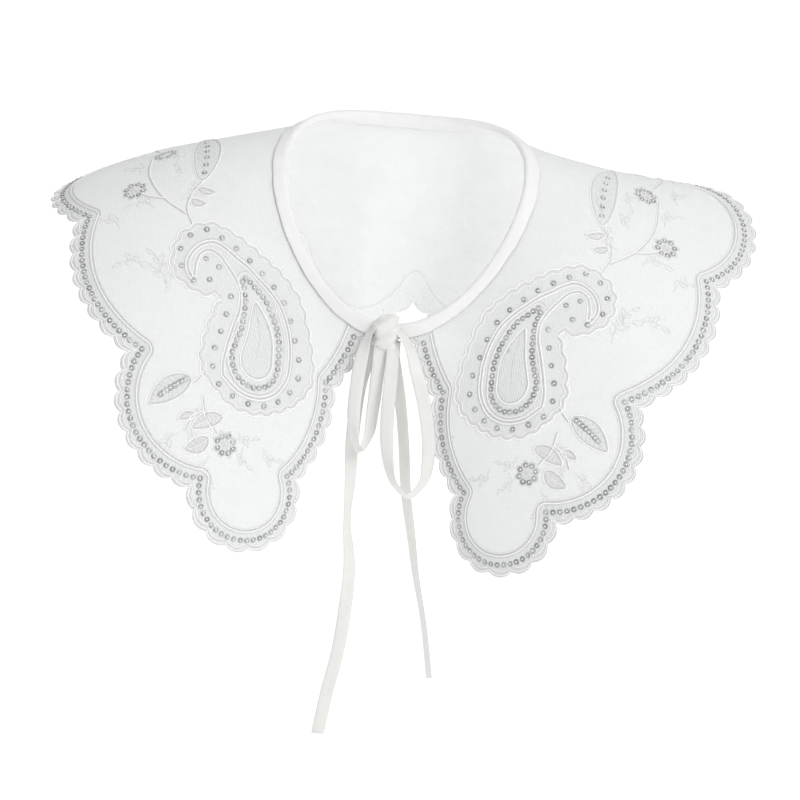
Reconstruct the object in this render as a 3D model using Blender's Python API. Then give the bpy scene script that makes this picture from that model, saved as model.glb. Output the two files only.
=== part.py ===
"""Detachable embroidered collar, worn and hollow, tied at the front with a bow.

Metres, +Z up. The front faces -Y and +X is the wearer's left. The origin is the middle of the neck ring.
The net is cut flat in polar measures: theta turns from the centre front round to the centre back, and
radius grows from the neck edge to the scallops. A point of the flat cut is then laid on the worn form.
"""

from math import atan2, ceil, cos, degrees, hypot, pi, radians, sin, sqrt

import bmesh
import bpy
import numpy as np
from mathutils import Vector
from mathutils.geometry import delaunay_2d_cdt

MM = 0.001

# Neck ring: half width, half depth, rise of the back over the front, and lift of the sides
NECK_HALF_WIDTH = 63 * MM
NECK_HALF_DEPTH = 52 * MM
NECK_RISE = 41 * MM
NECK_SADDLE = 13.5 * MM
NECK_LIFT = 1 * MM

# Slope of the cloth below horizontal, as mean, front-to-back and side terms
SLOPE_AT_NECK = (radians(38), radians(6), radians(30))
SLOPE_AT_EDGE = (radians(64), radians(7), radians(33))
SLOPE_LENGTH = 140 * MM
SIDE_FAN = -0.3

# Where the worn cloth leaves that even form. Each row: angle round the neck (degrees, plus is the
# wearer's left), half width there (degrees), and what it adds to the slope at the neck, to the slope
# at the edge and to the heading (degrees).
SWELL_COLUMNS = ("angle", "half_width", "at_neck", "at_edge", "turn")
SWELLS = (
    (82, 30, 7.5, 0, 0), (108, 17, 0, -26, 0), (152, 22, 0, 25, 0),
    (-82, 30, -6.3, 0, 0), (-95, 35, 0, 0, 10), (-152, 22, 4, 25, 0),
    (180, 40, 0, 0, -12),
)

# Flat cut
CUT_RADIUS = 72 * MM
FAN_ROW = 120 * MM
WALL = 1.2 * MM
GAP = 0.3 * MM
RELIEF = 0.5 * MM
RELIEF_STEP = 0.9 * MM

# Border: distances from the sequin row, and the small scallops
BORDER_OUT = 6.5 * MM
BORDER_IN = 5 * MM
SCALLOP_DEPTH = 2.2 * MM
SCALLOP_ARC = (0.0, 0.1, 0.3, 0.5, 0.7, 0.9)

# The sequin row runs in arcs between inward cusps. Each row: cusp's angle in the cut (degrees), its
# distance from the neck (mm), and the rise (mm) and the small scallops of the lobe that follows.
LOBE_COLUMNS = ("angle", "reach", "rise", "scallops")
LOBES = (
    (12.4, 0.0, 2.4, 4),
    (19.3, 42.2, 6.3, 5),
    (20.3, 99.7, 35.0, 8),
    (33.0, 130.8, 22.0, 8),
    (53.9, 108.7, 15.5, 8),
    (82.5, 106.0, 23.0, 9),
    (110.6, 108.0, 22.0, 9),
    (141.0, 110.0, 30.0, 8),
    (166.66, 105.5, 0.0, 0),
)

# Soft folds of the worn cloth. Each row: angle round the neck (degrees, plus is the wearer's left),
# its half width there (degrees), depth (mm, minus sinks), and how far from the neck it starts and
# is deepest (mm).
FOLD_COLUMNS = ("angle", "half_width", "depth", "start", "full")
FOLDS = (
    (67, 5.0, 1.8, 40, 105),
    (75, 6.0, -1.5, 50, 110),
    (36, 6.0, 1.2, 60, 130),
    (98, 7.0, -1.2, 55, 110),
    (128, 8.0, 2.2, 45, 105),
    (152, 7.0, -1.8, 50, 105),
    (-24, 5.0, -1.4, 25, 60),
    (-52, 6.0, 1.4, 60, 125),
    (-78, 7.0, -1.4, 55, 110),
    (-112, 8.0, 1.7, 50, 105),
    (-140, 7.0, -2.0, 45, 100),
    (-163, 6.0, 1.6, 50, 100),
)

# Paisleys in low relief, as circles along a spine in the flat cut (mm): x, y and radius
PAISLEY_COLUMNS = ("x", "y", "radius")
HALO_SPINE = ((80.5, -101.0, 33.5), (86.0, -80.0, 22.0), (98.0, -64.5, 17.5), (114.0, -57.5, 18.0))
TEAR_SPINE = (
    (83.0, -105.5, 17.0), (81.8, -92.0, 13.8), (83.0, -80.0, 10.0), (86.0, -71.5, 6.0), (88.5, -66.0, 3.0),
)
MOTIF_STEPS = 12
CAP_STEP = 3 * MM

# Mesh spacing
GRID_START = 22 * MM
GRID_END = 150 * MM
GRID_ROW = 15 * MM
GRID_SPACING = 17 * MM
GRID_CLEAR = 5 * MM
LINE_CLEAR = 4 * MM
BORDER_STEP = 7 * MM

# Binding: a tape folded over the neck edge
TAPE_WIDTH = 7 * MM
TAPE_LEG = 0.9 * MM
BINDING_SECTIONS = 32
BINDING_END = radians(6.8)
NECK_ROWS = (3.6 * MM, 8.0 * MM)

# Knot and ties
KNOT_CENTRE = Vector((0, -55.5, -55.5)) * MM
KNOT_HALF = Vector((7.0, 5.5, 8.5)) * MM
KNOT_ROUND = 2 * MM
RIBBON_THICK = 1.0 * MM

# Ties. Each row: x, y, z (mm) and the way the ribbon's width points in plan (degrees from +X).
TIE_COLUMNS = ("x", "y", "z", "facing")
TIES = {
    "bow_loop_left": (
        (-8.2, -56, -50, -90), (-10.5, -60, -58, -62), (-12.5, -63, -67, -15), (-14.2, -66, -83, -8),
        (-14.6, -67, -101, -15), (-13.4, -67, -112, -45), (-10.4, -66, -119, -90),
        (-7.0, -64.5, -112, -130), (-5.2, -63, -97, -155), (-4.2, -62, -80, -165),
        (-3.8, -59.5, -64.4, -172),
    ),
    "bow_loop_right": (
        (4.0, -59.5, -64.4, 8), (3.2, -65, -77, 5), (3.0, -70, -101, -5), (4.8, -74, -118, -25),
        (9.5, -77, -131, -60), (16.5, -79, -136, -90), (23.5, -80, -129, -125),
        (26.0, -80, -112, -160), (22.8, -76, -91, -170), (16.5, -69, -72, -165),
        (11.0, -61, -60, -125), (8.2, -57, -53, -95),
    ),
    "tie_tail_left": (
        (-6.0, -53, -65.4, 10), (-10.5, -54.5, -85, 0), (-13.0, -57, -110, -5), (-14.0, -58.5, -125, 20),
        (-15.0, -59, -140, 40), (-15.0, -59, -163, 60), (-12.5, -59, -190, 30),
        (-13.5, -59, -216, 5), (-16.0, -59, -241, 0), (-20.5, -59, -266, 0), (-24.0, -59, -291, 0),
    ),
    "tie_tail_right": (
        (1.5, -53, -65.4, -20), (8.0, -55, -92, -25), (12.0, -57.5, -119, -30), (15.5, -59, -148, -35),
        (18.3, -59, -164, -40), (22.6, -59, -188, -50), (28.0, -59, -213, -55), (34.4, -59, -251, -55),
    ),
}
RIBBON_STEP = 5 * MM


def rows_of(columns, table):
    return [dict(zip(columns, row)) for row in table]


def smooth(value, start, full):
    share = min(1.0, max(0.0, (value - start) / (full - start)))
    return share * share * (3 - 2 * share)


# Worn form
def bell(phi, row):
    """How much of a row's swell or fold is felt at an angle: all of it at its own, and less to both sides."""
    off = (degrees(phi) - row["angle"] + 180) % 360 - 180
    return float(np.exp(-((off / row["half_width"]) ** 2)))


def slopes(phi, swells):
    """Slopes of the cloth at the neck and at the edge, and the heading it falls in."""
    wave = (1.0, cos(phi), cos(2 * phi))
    first, last = (sum(a * w for a, w in zip(terms, wave)) for terms in (SLOPE_AT_NECK, SLOPE_AT_EDGE))
    heading = phi + SIDE_FAN * sin(2 * phi)
    for row in rows_of(SWELL_COLUMNS, swells):
        share = bell(phi, row)
        first += radians(row["at_neck"]) * share
        last += radians(row["at_edge"]) * share
        heading += radians(row["turn"]) * share
    return first, last, heading


def drape(phi, reach, swells=SWELLS):
    """The place of the cloth at an angle round the neck and a distance down from its neck edge."""
    neck = Vector((
        NECK_HALF_WIDTH * sin(phi),
        -NECK_HALF_DEPTH * cos(phi),
        NECK_LIFT - NECK_RISE * cos(phi) - NECK_SADDLE * cos(2 * phi),
    ))
    first, last, heading = slopes(phi, swells)
    half_bend = (last - first) * reach / SLOPE_LENGTH / 2
    chord = reach * float(np.sinc(half_bend / pi))
    out, down = chord * cos(first + half_bend), chord * sin(first + half_bend)
    return neck + Vector((sin(heading) * out, -cos(heading) * out, -down))


def fold_height(phi, reach):
    total = 0.0
    for fold in rows_of(FOLD_COLUMNS, FOLDS):
        total += fold["depth"] * MM * smooth(reach, fold["start"] * MM, fold["full"] * MM) * bell(phi, fold)
    return total


def form(phi, reach, lift=0.0):
    """A point of the worn cloth, lifted off it along the outward normal."""
    small = 1e-4
    across = drape(phi + small, reach) - drape(phi - small, reach)
    along = drape(phi, reach + small) - drape(phi, reach - small)
    normal = along.cross(across).normalized()
    return drape(phi, reach) + normal * (lift + fold_height(phi, reach))


def row_angles(reach):
    """Angles in the flat cut for FAN_PHI, from the length of the row at one reach on the even form."""
    row = [drape(phi, reach, ()) for phi in FAN_PHI]
    steps = [0.0] + [(b - a).length for a, b in zip(row, row[1:])]
    return np.cumsum(steps) / (CUT_RADIUS + reach)


FAN_PHI = np.linspace(0, pi, 361)
EDGE_ANGLES = row_angles(FAN_ROW)
THETA_BACK = float(EDGE_ANGLES[-1])
NECK_ANGLES = row_angles(0.0)
NECK_ANGLES *= THETA_BACK / NECK_ANGLES[-1]


def fan_angles(reach):
    """Angles in the flat cut for FAN_PHI at a reach, between the neck's and the edge's."""
    share = reach / FAN_ROW
    return NECK_ANGLES * (1 - share) + EDGE_ANGLES * share


def cut_point(theta, reach):
    radius = CUT_RADIUS + reach
    return Vector((radius * sin(theta), -radius * cos(theta)))


def polar(point):
    """Angle round the neck and distance from the neck edge, for a point of the flat cut."""
    theta, reach = atan2(point[0], -point[1]), hypot(*point) - CUT_RADIUS
    return float(np.interp(theta, fan_angles(reach), FAN_PHI)), reach


def theta_of(phi, reach):
    return float(np.interp(phi, FAN_PHI, fan_angles(reach)))


# Outline of the flat cut
def lobe_circles():
    """For each lobe its circle's centre and radius, and the cusps at its two ends."""
    rows = rows_of(LOBE_COLUMNS, LOBES)
    cusps = [cut_point(radians(row["angle"]), row["reach"] * MM) for row in rows]
    found = []
    for row, start, end in zip(rows, cusps, cusps[1:]):
        chord = end - start
        half, rise = chord.length / 2, row["rise"] * MM
        radius = (half * half + rise * rise) / (2 * rise)
        outward = Vector((chord.y, -chord.x)).normalized()
        centre = (start + end) / 2 + outward * (rise - radius)
        found.append((centre, radius, start, end, row["scallops"]))
    return found


def crossing(centre_a, radius_a, centre_b, radius_b, near):
    """Where two circles cross, on the side nearer to a point."""
    gap = centre_b - centre_a
    along = (gap.length_squared + radius_a**2 - radius_b**2) / (2 * gap.length)
    off = sqrt(max(0.0, radius_a**2 - along**2))
    base, side = centre_a + gap.normalized() * along, Vector((-gap.y, gap.x)).normalized() * off
    return min((base + side, base - side), key=lambda p: (p - near).length)


def angle_between(centre, start, end):
    """Start angle and anticlockwise sweep from one point to another, seen from a centre."""
    first = atan2(start.y - centre.y, start.x - centre.x)
    last = atan2(end.y - centre.y, end.x - centre.x)
    return first, (last - first) % (2 * pi)


def on_circle(centre, radius, angle):
    return centre + Vector((cos(angle), sin(angle))) * radius


def neck_crossing(centre, radius, near):
    return crossing(centre, radius, Vector((0, 0)), CUT_RADIUS, near)


def outer_edge():
    """The scalloped edge from the neck at the front to the centre back."""
    circles, points = lobe_circles(), []
    notch_out = BORDER_OUT - SCALLOP_DEPTH
    start = neck_crossing(circles[0][0], circles[0][1] + notch_out, circles[0][2])
    for i, (centre, radius, _, cusp, count) in enumerate(circles):
        if i + 1 < len(circles):
            after = circles[i + 1]
            end = crossing(centre, radius + notch_out, after[0], after[1] + notch_out, cusp)
        else:
            back = cut_point(THETA_BACK, 0).normalized()
            along = centre.dot(back)
            off = sqrt((radius + notch_out) ** 2 - (centre - back * along).length_squared)
            end = back * (along + off)
        first, sweep = angle_between(centre, start, end)
        for scallop in range(count):
            for share in SCALLOP_ARC:
                bulge = SCALLOP_DEPTH * sin(pi * share) ** 0.75 if share else 0.0
                angle = first + sweep * (scallop + share) / count
                points.append(on_circle(centre, radius + notch_out + bulge, angle))
        start = end
    points.append(start)
    return points


def inner_line(inset, spacing):
    """The border's inner line, at an inset from the sequin row, from the front edge to the centre back."""
    circles, points = lobe_circles(), []
    for i, (centre, radius, start, end, _) in enumerate(circles):
        first, sweep = angle_between(centre, start, end)
        steps = max(3, ceil(sweep * (radius - inset) / spacing))
        points += [on_circle(centre, radius - inset, first + sweep * k / steps) for k in range(steps + 1)]
        if i + 1 < len(circles):
            after = circles[i + 1][0]
            corner, turn = angle_between(end, end + (centre - end), end + (after - end))
            turn = turn - 2 * pi if turn > pi else turn
            steps = max(2, ceil(abs(turn) * inset / (spacing / 3)))
            points += [on_circle(end, inset, corner + turn * k / steps) for k in range(1, steps)]
    line_angle = THETA_BACK - 1e-6
    kept = [p for p in points if polar(p)[1] > NECK_ROWS[-1] + 1 * MM and atan2(p.x, -p.y) < line_angle]
    kept.append(cut_point(THETA_BACK, LOBES[-1][1] * MM - inset))
    return kept


# Motifs in the flat cut
def soft_curve(rows, names, count):
    """Evenly spaced points on a smooth curve through the rows, as one array a column."""
    values = np.array([[row[name] for name in names] for row in rows], float)
    steps = np.linalg.norm(np.diff(values[:, :-1], axis=0), axis=1)
    at = np.concatenate([[0], np.cumsum(steps)])
    slope = np.gradient(values, at, axis=0)
    found = []
    for t in np.linspace(0, at[-1], count):
        i = min(len(at) - 2, int(np.searchsorted(at, t, side="right")) - 1)
        h = at[i + 1] - at[i]
        u = (t - at[i]) / h
        found.append(
            (2 * u**3 - 3 * u**2 + 1) * values[i] + (u**3 - 2 * u**2 + u) * h * slope[i]
            + (3 * u**2 - 2 * u**3) * values[i + 1] + (u**3 - u**2) * h * slope[i + 1]
        )
    return np.array(found).T


def motif_outline(spine, grow):
    """A closed outline at a spine's radius plus a growth, with round ends."""
    x, y, r = soft_curve(rows_of(PAISLEY_COLUMNS, spine), PAISLEY_COLUMNS, MOTIF_STEPS)
    middle = [Vector((a, b)) * MM for a, b in zip(x, y)]
    radius = r * MM + grow
    heading = [atan2(b, a) for a, b in zip(np.gradient(x), np.gradient(y))]
    right = [on_circle(c, rad, h - pi / 2) for c, rad, h in zip(middle, radius, heading)]
    left = [on_circle(c, rad, h + pi / 2) for c, rad, h in zip(middle, radius, heading)]
    caps = []
    for c, rad, first in ((middle[-1], radius[-1], heading[-1] - pi / 2),
                          (middle[0], radius[0], heading[0] + pi / 2)):
        steps = max(3, round(rad / CAP_STEP))
        caps.append([on_circle(c, rad, first + pi * k / steps) for k in range(1, steps)])
    return right + caps[0] + left[::-1] + caps[1]


def inside(point, loop):
    crossed = False
    for a, b in zip(loop, loop[1:] + loop[:1]):
        if (a.y > point.y) != (b.y > point.y):
            if point.x < a.x + (point.y - a.y) * (b.x - a.x) / (b.y - a.y):
                crossed = not crossed
    return crossed


def clear_of(point, others, distance):
    return all((point - other).length > distance for other in others)


# Net
def neck_angles():
    return [BINDING_END + (pi - BINDING_END) * k / BINDING_SECTIONS for k in range(BINDING_SECTIONS + 1)]


def back_rows():
    """Distances from the neck edge of the points on the centre back line."""
    border = LOBES[-1][1] * MM - BORDER_IN
    rows = (0.0, *NECK_ROWS, *np.arange(GRID_START, border - RELIEF_STEP - GRID_CLEAR, GRID_ROW))
    return (*(float(reach) for reach in rows), border - RELIEF_STEP, border)


def cut_rim():
    """The half cut's edge as a closed loop: scalloped edge, centre back, neck; and its open length."""
    edge = outer_edge()
    start_phi = polar(edge[0])[0]
    neck = [cut_point(theta_of(phi, 0), 0) for phi in neck_angles() if phi > start_phi + radians(1)]
    back = [cut_point(THETA_BACK, reach) for reach in reversed(back_rows())]
    return edge, back, neck[::-1][1:]


def grid_points(loop):
    """Points inside the cut in rows round the neck, with the two rows under the binding."""
    found = []
    for reach in NECK_ROWS:
        found += [cut_point(theta_of(phi, reach), reach) for phi in neck_angles()[:-1]]
    reach, shift = GRID_START, 0.5
    while reach < GRID_END:
        length = THETA_BACK * (CUT_RADIUS + reach)
        count = round(length / GRID_SPACING)
        found += [cut_point(THETA_BACK * (k + shift) / count, reach) for k in range(count)]
        reach, shift = reach + GRID_ROW, 0.5 - shift
    return [p for p in found if inside(p, loop) and clear_of(p, loop, GRID_CLEAR if p.length > CUT_RADIUS
            + NECK_ROWS[-1] + 1 * MM else 1.5 * MM)]


def lift_of_edge(point):
    return RELIEF * smooth(polar(point)[1], 9 * MM, 14 * MM)


def outer_layout(loop, grid):
    """Points, their lifts and the fixed edges of the net's outer face."""
    points, lifts = list(loop), [lift_of_edge(p) for p in loop]
    edges = [(k, (k + 1) % len(loop)) for k in range(len(loop))]
    lines = [
        (inner_line(BORDER_IN + RELIEF_STEP, BORDER_STEP), 0.0, False),
        (inner_line(BORDER_IN, BORDER_STEP), RELIEF, False),
    ]
    regions = []
    for spine, base in ((HALO_SPINE, 0.0), (TEAR_SPINE, RELIEF)):
        foot, top = (motif_outline(spine, grow) for grow in (0.0, -RELIEF_STEP))
        lines += [(foot, base, True), (top, base + RELIEF, True)]
        regions.append((top, base + RELIEF))
    for line, lift, closed in lines:
        first = len(points)
        points += line
        lifts += [lift] * len(line)
        edges += [(first + k, first + k + 1) for k in range(len(line) - 1)]
        if closed:
            edges.append((len(points) - 1, first))
    fixed = points[len(loop):]
    for point in grid:
        if clear_of(point, fixed, LINE_CLEAR):
            points.append(point)
            lifts.append(max([lift for region, lift in regions if inside(point, region)], default=0.0))
    return points, lifts, edges


def triangles(points, edges):
    flat = [point / MM for point in points]
    found = delaunay_2d_cdt(flat, edges, [], 1, 1e-4)
    places, faces, origins = found[0], found[2], found[3]
    return [place * MM for place in places], faces, [list(origin) for origin in origins]


def net_side(mesh, side):
    """Both faces and the rim of the net on one side of the body."""
    edge, back, neck = cut_rim()
    loop = edge + back + neck
    grid = grid_points(loop)
    layouts = (
        outer_layout(loop, grid),
        (loop + grid, [-WALL] * (len(loop) + len(grid)), [(k, (k + 1) % len(loop)) for k in range(len(loop))]),
    )
    rims = []
    for points, lifts, edges in layouts:
        places, faces, origins = triangles(points, edges)
        made = []
        for place, origin in zip(places, origins):
            lift = np.mean([lifts[k] for k in origin]) if origin else 0.0
            phi, reach = polar(place)
            made.append(mesh.verts.new(form(side * phi, reach, lift)))
        for face in faces:
            mesh.faces.new([made[k] for k in face])
        where = {k: made[i] for i, origin in enumerate(origins) for k in origin}
        rims.append([where[k] for k in range(len(loop))])
    centre_back = range(len(edge) - 1, len(edge) + len(back) - 1)
    for a in range(len(loop)):
        if a not in centre_back:
            b = (a + 1) % len(loop)
            mesh.faces.new((rims[0][a], rims[0][b], rims[1][b], rims[1][a]))


def net():
    mesh = bmesh.new()
    for side in (1, -1):
        net_side(mesh, side)
    bmesh.ops.remove_doubles(mesh, verts=mesh.verts, dist=1e-6)
    bmesh.ops.recalc_face_normals(mesh, faces=mesh.faces)
    return finished("collar_net", mesh, net_material())


# Binding
def binding_profile():
    """The folded tape's section as reach from the neck edge and lift off the cloth."""
    inner, outer = -WALL - GAP, GAP
    top = GAP * 1.2
    return (
        (TAPE_WIDTH, outer), (TAPE_WIDTH, outer + TAPE_LEG), (TAPE_WIDTH / 2, outer + TAPE_LEG),
        (0, outer + TAPE_LEG), (-top - TAPE_LEG * 0.8, outer * 0.6), (-top - TAPE_LEG, (inner + outer) / 2),
        (-top - TAPE_LEG * 0.8, inner * 0.8), (0, inner - TAPE_LEG), (TAPE_WIDTH / 2, inner - TAPE_LEG),
        (TAPE_WIDTH, inner - TAPE_LEG), (TAPE_WIDTH, inner), (TAPE_WIDTH / 2, inner), (-top, inner),
        (-top, outer), (TAPE_WIDTH / 2, outer),
    )


def binding():
    half = neck_angles()
    angles = half + [2 * pi - phi for phi in reversed(half[:-1])]
    mesh = bmesh.new()
    rings = [[mesh.verts.new(form(phi, reach, lift)) for reach, lift in binding_profile()] for phi in angles]
    skin(mesh, rings)
    return finished("neck_binding", mesh, tape_material("binding_tape"))


def skin(mesh, rings):
    """Faces between neighbouring rings of points, and a face over each end."""
    for a, b in zip(rings, rings[1:]):
        for k in range(len(a)):
            n = (k + 1) % len(a)
            mesh.faces.new((a[k], a[n], b[n], b[k]))
    mesh.faces.new(rings[0][::-1])
    mesh.faces.new(rings[-1])
    bmesh.ops.recalc_face_normals(mesh, faces=mesh.faces)


# Knot and ties
def knot():
    mesh = bmesh.new()
    bmesh.ops.create_cube(mesh, size=2)
    bmesh.ops.scale(mesh, vec=KNOT_HALF, verts=mesh.verts)
    bmesh.ops.translate(mesh, vec=KNOT_CENTRE, verts=mesh.verts)
    bmesh.ops.bevel(mesh, geom=mesh.edges[:], offset=KNOT_ROUND, segments=3, profile=0.5, affect="EDGES")
    return finished("tie_knot", mesh, tape_material("knot_tape"))


def ribbon(name, table):
    rows = rows_of(TIE_COLUMNS, table)
    places = [Vector((row["x"], row["y"], row["z"])) for row in rows]
    length = sum((b - a).length for a, b in zip(places, places[1:])) * MM
    x, y, z, facing = soft_curve(rows, TIE_COLUMNS, ceil(length / RIBBON_STEP) + 1)
    line = [Vector(point) * MM for point in zip(x, y, z)]
    mesh, rings = bmesh.new(), []
    for k, point in enumerate(line):
        ahead = (line[min(k + 1, len(line) - 1)] - line[max(k - 1, 0)]).normalized()
        width = Vector((cos(radians(facing[k])), sin(radians(facing[k])), 0))
        width = (width - ahead * width.dot(ahead)).normalized()
        thick = ahead.cross(width)
        corners = ((-1, -1), (1, -1), (1, 1), (-1, 1))
        rings.append([
            mesh.verts.new(point + width * (a * TAPE_WIDTH / 2) + thick * (b * RIBBON_THICK / 2))
            for a, b in corners
        ])
    skin(mesh, rings)
    return finished(name, mesh, tape_material(name + "_tape"))


# Materials and objects
def material(name, colour, roughness):
    made = bpy.data.materials.new(name)
    made.use_nodes = True
    shader = made.node_tree.nodes["Principled BSDF"]
    shader.inputs["Base Color"].default_value = (*colour, 1)
    shader.inputs["Roughness"].default_value = roughness
    shader.inputs["Metallic"].default_value = 0.0
    return made


def net_material():
    return material("embroidered_net", (0.86, 0.87, 0.87), 0.8)


def tape_material(name):
    return material(name, (0.86, 0.86, 0.83), 0.55)


def finished(name, mesh, surface):
    data = bpy.data.meshes.new(name)
    mesh.to_mesh(data)
    mesh.free()
    data.shade_smooth()
    data.set_sharp_from_angle(angle=radians(40))
    data.materials.append(surface)
    made = bpy.data.objects.new(name, data)
    bpy.context.scene.collection.objects.link(made)
    return made


def main():
    for old in list(bpy.data.objects):
        bpy.data.objects.remove(old, do_unlink=True)
    net()
    binding()
    knot()
    for name, table in TIES.items():
        ribbon(name, table)


main()
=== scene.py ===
"""Embroidered net collar with a sequin border, a bound neck and a ribbon bow, worn and hollow.

Metres, in the frame's own axes. The net is drawn in its flat cut, where x and y come from the angle
round the neck and the distance from the neck edge, and laid on the worn form with everything on it.
"""

from math import atan2, ceil, cos, pi, radians, sin, sqrt

import bmesh
import bpy
import numpy as np
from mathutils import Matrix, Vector
from mathutils.geometry import delaunay_2d_cdt

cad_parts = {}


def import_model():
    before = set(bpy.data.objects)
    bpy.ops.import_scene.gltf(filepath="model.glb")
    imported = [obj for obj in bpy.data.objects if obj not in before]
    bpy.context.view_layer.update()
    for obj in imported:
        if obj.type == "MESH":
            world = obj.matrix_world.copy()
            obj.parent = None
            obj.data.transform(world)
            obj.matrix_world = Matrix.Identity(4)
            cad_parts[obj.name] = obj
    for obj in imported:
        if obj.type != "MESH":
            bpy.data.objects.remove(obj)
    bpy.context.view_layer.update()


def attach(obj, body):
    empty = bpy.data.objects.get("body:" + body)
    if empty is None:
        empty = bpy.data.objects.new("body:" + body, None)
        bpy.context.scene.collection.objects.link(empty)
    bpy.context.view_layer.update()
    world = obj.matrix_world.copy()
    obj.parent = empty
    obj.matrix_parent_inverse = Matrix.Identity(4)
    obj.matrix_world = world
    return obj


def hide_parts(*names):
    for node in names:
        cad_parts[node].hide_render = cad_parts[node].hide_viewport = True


MM = 0.001

# Worn form, as the frame's solids have it
NECK_HALF_WIDTH = 63 * MM
NECK_HALF_DEPTH = 52 * MM
NECK_RISE = 41 * MM
NECK_SADDLE = 13.5 * MM
NECK_LIFT = 1 * MM
SLOPE_AT_NECK = (radians(38), radians(6), radians(30))
SLOPE_AT_EDGE = (radians(64), radians(7), radians(33))
SLOPE_LENGTH = 140 * MM
SIDE_FAN = -0.3
# Swells: angle and half width, and what each adds to both slopes and to the way out, in degrees
SWELL_COLUMNS = ("angle", "half_width", "at_neck", "at_edge", "turn")
SWELLS = (
    (82, 30, 7.5, 0, 0), (108, 17, 0, -26, 0), (152, 22, 0, 25, 0),
    (-82, 30, -6.3, 0, 0), (-95, 35, 0, 0, 10), (-152, 22, 4, 25, 0),
    (180, 40, 0, 0, -12),
)

# Flat cut
CUT_RADIUS = 72 * MM
FAN_ROW = 120 * MM
CLOTH_THICK = 0.3 * MM
CLOTH_LIFT = -0.5 * MM

# Border, as distances from its sequin row
BORDER_OUT = 7.3 * MM
SCALLOP_DEPTH = 2.8 * MM
BORDER_BAND = 6.2 * MM
BORDER_START = 7.4 * MM
CORD_LIFT = -0.3 * MM
# Cords: inset and radius in mm, and how much painted shade darkens the thread, standing in for the shade
# beside the raised cords
INNER_CORDS = ((4.0, 0.2, 0.7), (4.9, 0.48, 0.0), (5.75, 0.22, 0.8), (6.6, 0.26, 0.2))
EDGE_CORDS = ((0.45, 0.36, 0.6), (1.3, 0.42, 0.0), (2.6, 0.2, 0.5), (3.5, 0.28, 0.0))

# Lobes: where each starts, in degrees and mm from the neck, how far its arc rises, and its scallops
LOBE_COLUMNS = ("angle", "reach", "rise", "scallops")
LOBES = (
    (12.4, 0.0, 2.4, 4),
    (19.3, 42.2, 6.3, 5),
    (20.3, 99.7, 35.0, 8),
    (33.0, 130.8, 22.0, 8),
    (53.9, 108.7, 15.5, 8),
    (82.5, 106.0, 23.0, 9),
    (110.6, 108.0, 22.0, 9),
    (141.0, 110.0, 30.0, 8),
    (166.66, 105.5, 0.0, 0),
)

# Folds: angle and half width in degrees, depth in mm, and where they start and are full, in mm
FOLD_COLUMNS = ("angle", "half_width", "depth", "start", "full")
FOLDS = (
    (67, 5.0, 1.8, 40, 105),
    (75, 6.0, -1.5, 50, 110),
    (36, 6.0, 1.2, 60, 130),
    (98, 7.0, -1.2, 55, 110),
    (128, 8.0, 2.2, 45, 105),
    (152, 7.0, -1.8, 50, 105),
    (-24, 5.0, -1.4, 25, 60),
    (-52, 6.0, 1.4, 60, 125),
    (-78, 7.0, -1.4, 55, 110),
    (-112, 8.0, 1.7, 50, 105),
    (-140, 7.0, -2.0, 45, 100),
    (-163, 6.0, 1.6, 50, 100),
)
PUCKER_DEPTH, PUCKER_LENGTH = 0.22 * MM, 9 * MM
PUCKER_FROM, PUCKER_FULL = 15 * MM, 60 * MM

# Binding and ties
TAPE_WIDTH = 7 * MM
BINDING_END = radians(4.2)
# Ties: x, y and z in mm, and the way the width points, in degrees
TIES = {
    "bow_loop_left": (
        (-4.5, -57, -48.5, -90), (-10.0, -60, -57, -62), (-12.5, -63, -67, -15), (-14.2, -66, -83, -8),
        (-14.6, -67, -101, -15), (-13.4, -67, -112, -45), (-10.4, -66, -119, -90),
        (-7.0, -64.5, -112, -130), (-5.2, -63, -97, -155), (-4.2, -62, -80, -165),
        (-3.8, -58.5, -59, -172),
    ),
    "bow_loop_right": (
        (3.0, -58.5, -59, 8), (3.2, -65, -77, 5), (3.0, -70, -101, -5), (4.8, -74, -118, -25),
        (9.5, -77, -131, -60), (16.5, -79, -136, -90), (23.5, -80, -129, -125),
        (26.0, -80, -112, -160), (22.8, -76, -91, -170), (16.5, -69, -72, -165),
        (11.0, -61, -60, -125), (3.0, -57, -52, -95),
    ),
    "tie_tail_left": (
        (-5.0, -54, -59, 10), (-12.0, -54.5, -80, 0), (-14.8, -57, -104, -5), (-15.2, -58.5, -123, 20),
        (-15.0, -59, -140, 40), (-15.0, -59, -163, 60), (-12.5, -59, -190, 30),
        (-13.5, -59, -216, 5), (-16.0, -59, -241, 0), (-20.5, -59, -266, 0), (-24.0, -59, -291, 0),
    ),
    "tie_tail_right": (
        (1.0, -54, -59, -20), (8.0, -55, -92, -25), (12.0, -57.5, -119, -30), (15.5, -59, -148, -35),
        (18.3, -59, -164, -40), (22.6, -59, -188, -50), (28.0, -59, -213, -55), (34.4, -59, -251, -55),
    ),
}
TAIL_SLANTS = {"tie_tail_left": 0.5 * MM, "tie_tail_right": 1.6 * MM}
RIBBON_THICK = 0.5 * MM
LOOP_TILT = radians(50)
LOOP_TILT_FROM, LOOP_TILT_FULL = 95 * MM, 112 * MM
RIBBON_STEP = 2 * MM
KNOT_CENTRE = Vector((-1.2, -56, -55.8)) * MM
KNOT_HALF = Vector((7.6, 6.4, 9.6)) * MM


def rows_of(columns, table):
    return [dict(zip(columns, row)) for row in table]


def smooth(value, start, full):
    share = np.clip((value - start) / (full - start), 0.0, 1.0)
    return share * share * (3 - 2 * share)


# Worn form
def stacked(*parts):
    return np.stack(np.broadcast_arrays(*parts), axis=-1)


def bell(phi, row):
    off = (np.degrees(phi) - row["angle"] + 180) % 360 - 180
    return np.exp(-((off / row["half_width"]) ** 2))


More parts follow.
